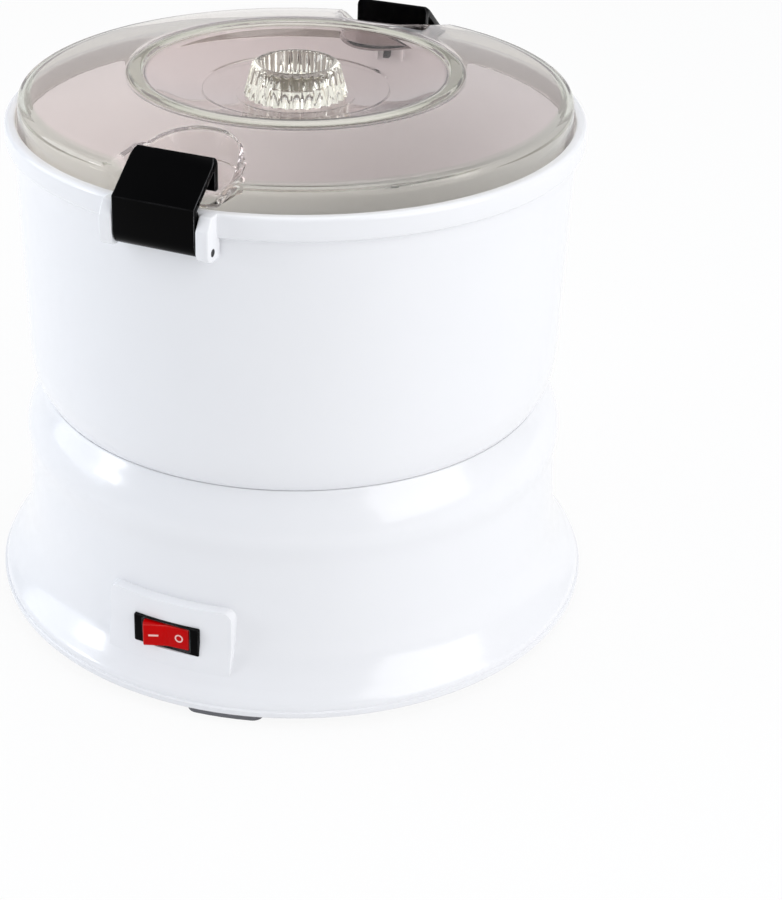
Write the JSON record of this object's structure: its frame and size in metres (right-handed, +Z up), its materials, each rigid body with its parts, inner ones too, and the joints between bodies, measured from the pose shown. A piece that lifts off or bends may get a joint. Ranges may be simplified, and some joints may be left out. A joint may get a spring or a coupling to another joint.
{
  "type": "electric potato peeler",
  "caption": "Countertop potato peeler: flared motor base with rocker switch, lift-off bowl with turning peeling disc, clear domed lid with fluted knob, hinged latches.",
  "frame": {"origin": "centre of the underside of the feet, on the table", "axes": "+Z up along the disc's axis; the switch and the front latch face -Y, the cord gland faces +Y, the motor lies towards +X"},
  "size_m": [0.256, 0.256, 0.2312],
  "materials": {
    "white_plastic": "gloss moulded, cool white",
    "clear_plastic": "clear, polished",
    "black_plastic": "gloss moulded",
    "red_plastic": "gloss moulded",
    "gear_plastic": "natural acetal",
    "rubber": "soft matte",
    "plated_steel": "zinc plated",
    "bright_steel": "ground",
    "black_steel": "blackened",
    "core_steel": "stacked laminations",
    "copper_wire": "enamelled copper",
    "brass": "bare",
    "bronze": "sintered",
    "abrasive": "coarse grit"
  },
  "bodies": {
    "base": {"base_housing": "white_plastic", "base_plate": "white_plastic", "feet": "rubber", "base_screws": "plated_steel", "cord_gland": "black_plastic", "switch_frame": "black_plastic", "switch_terminals": "brass", "motor_plate": "plated_steel", "plate_screws": "plated_steel", "motor_stator": "core_steel", "motor_windings": "copper_wire", "motor_bracket": "plated_steel", "motor_spacers": "plated_steel", "motor_bolts": "plated_steel", "motor_nuts": "plated_steel", "motor_bushes": "bronze", "output_bushes": "bronze"},
    "rotor": {"motor_shaft": "bright_steel", "motor_rotor": "core_steel", "motor_fan": "gear_plastic", "motor_pinion": "gear_plastic"},
    "drive": {"output_shaft": "bright_steel", "output_gear": "gear_plastic", "output_clip": "plated_steel", "drive_coupling": "black_plastic"},
    "rocker": {"switch_rocker": "red_plastic"},
    "bowl": {"bowl": "white_plastic", "bowl_bush": "bronze", "shaft_seal": "rubber", "lid_key": "black_plastic", "front_hinge_pin": "black_steel", "rear_hinge_pin": "black_steel"},
    "disc": {"spindle": "bright_steel", "driven_coupling": "black_plastic", "peeling_disc": "white_plastic", "abrasive_pad": "abrasive", "disc_nut": "black_plastic"},
    "lid": {"lid": "clear_plastic", "lid_knob": "clear_plastic"},
    "front_latch": {"front_latch": "black_plastic"},
    "rear_latch": {"rear_latch": "black_plastic"}
  },
  "joints": [
    {"name": "bowl_lift", "type": "slide", "parent": "base", "child": "bowl", "axis": [0, 0, 1], "range_m": [0, 0.12]},
    {"name": "lid_lift", "type": "slide", "parent": "bowl", "child": "lid", "axis": [0, 0, 1], "range_m": [0, 0.04]},
    {"name": "front_latch_swing", "type": "hinge", "parent": "bowl", "child": "front_latch", "pos_m": [0, -0.118, 0.1985], "axis": [1, 0, 0], "range_deg": [0, 150]},
    {"name": "rear_latch_swing", "type": "hinge", "parent": "bowl", "child": "rear_latch", "pos_m": [0, 0.118, 0.1985], "axis": [-1, 0, 0], "range_deg": [0, 150]},
    {"name": "disc_spin", "type": "hinge", "parent": "bowl", "child": "disc", "pos_m": [0, 0, 0.1], "axis": [0, 0, 1], "continuous": true},
    {"name": "drive_spin", "type": "hinge", "parent": "base", "child": "drive", "pos_m": [0, 0, 0.07], "axis": [0, 0, 1], "continuous": true},
    {"name": "rotor_spin", "type": "hinge", "parent": "base", "child": "rotor", "pos_m": [0.06, 0, 0.04], "axis": [0, 0, 1], "continuous": true},
    {"name": "rocker_tilt", "type": "hinge", "parent": "base", "child": "rocker", "pos_m": [0, -0.1178, 0.0303], "axis": [0, 0, -1], "range_deg": [0, 26]}
  ],
  "couplings": [
    {"joint": "front_latch_swing", "follows": "lid_lift", "rad_per_m": 65.449},
    {"joint": "rear_latch_swing", "follows": "lid_lift", "rad_per_m": 65.449},
    {"joint": "drive_spin", "follows": "disc_spin", "ratio": 1},
    {"joint": "rotor_spin", "follows": "disc_spin", "ratio": -3.4444}
  ]
}
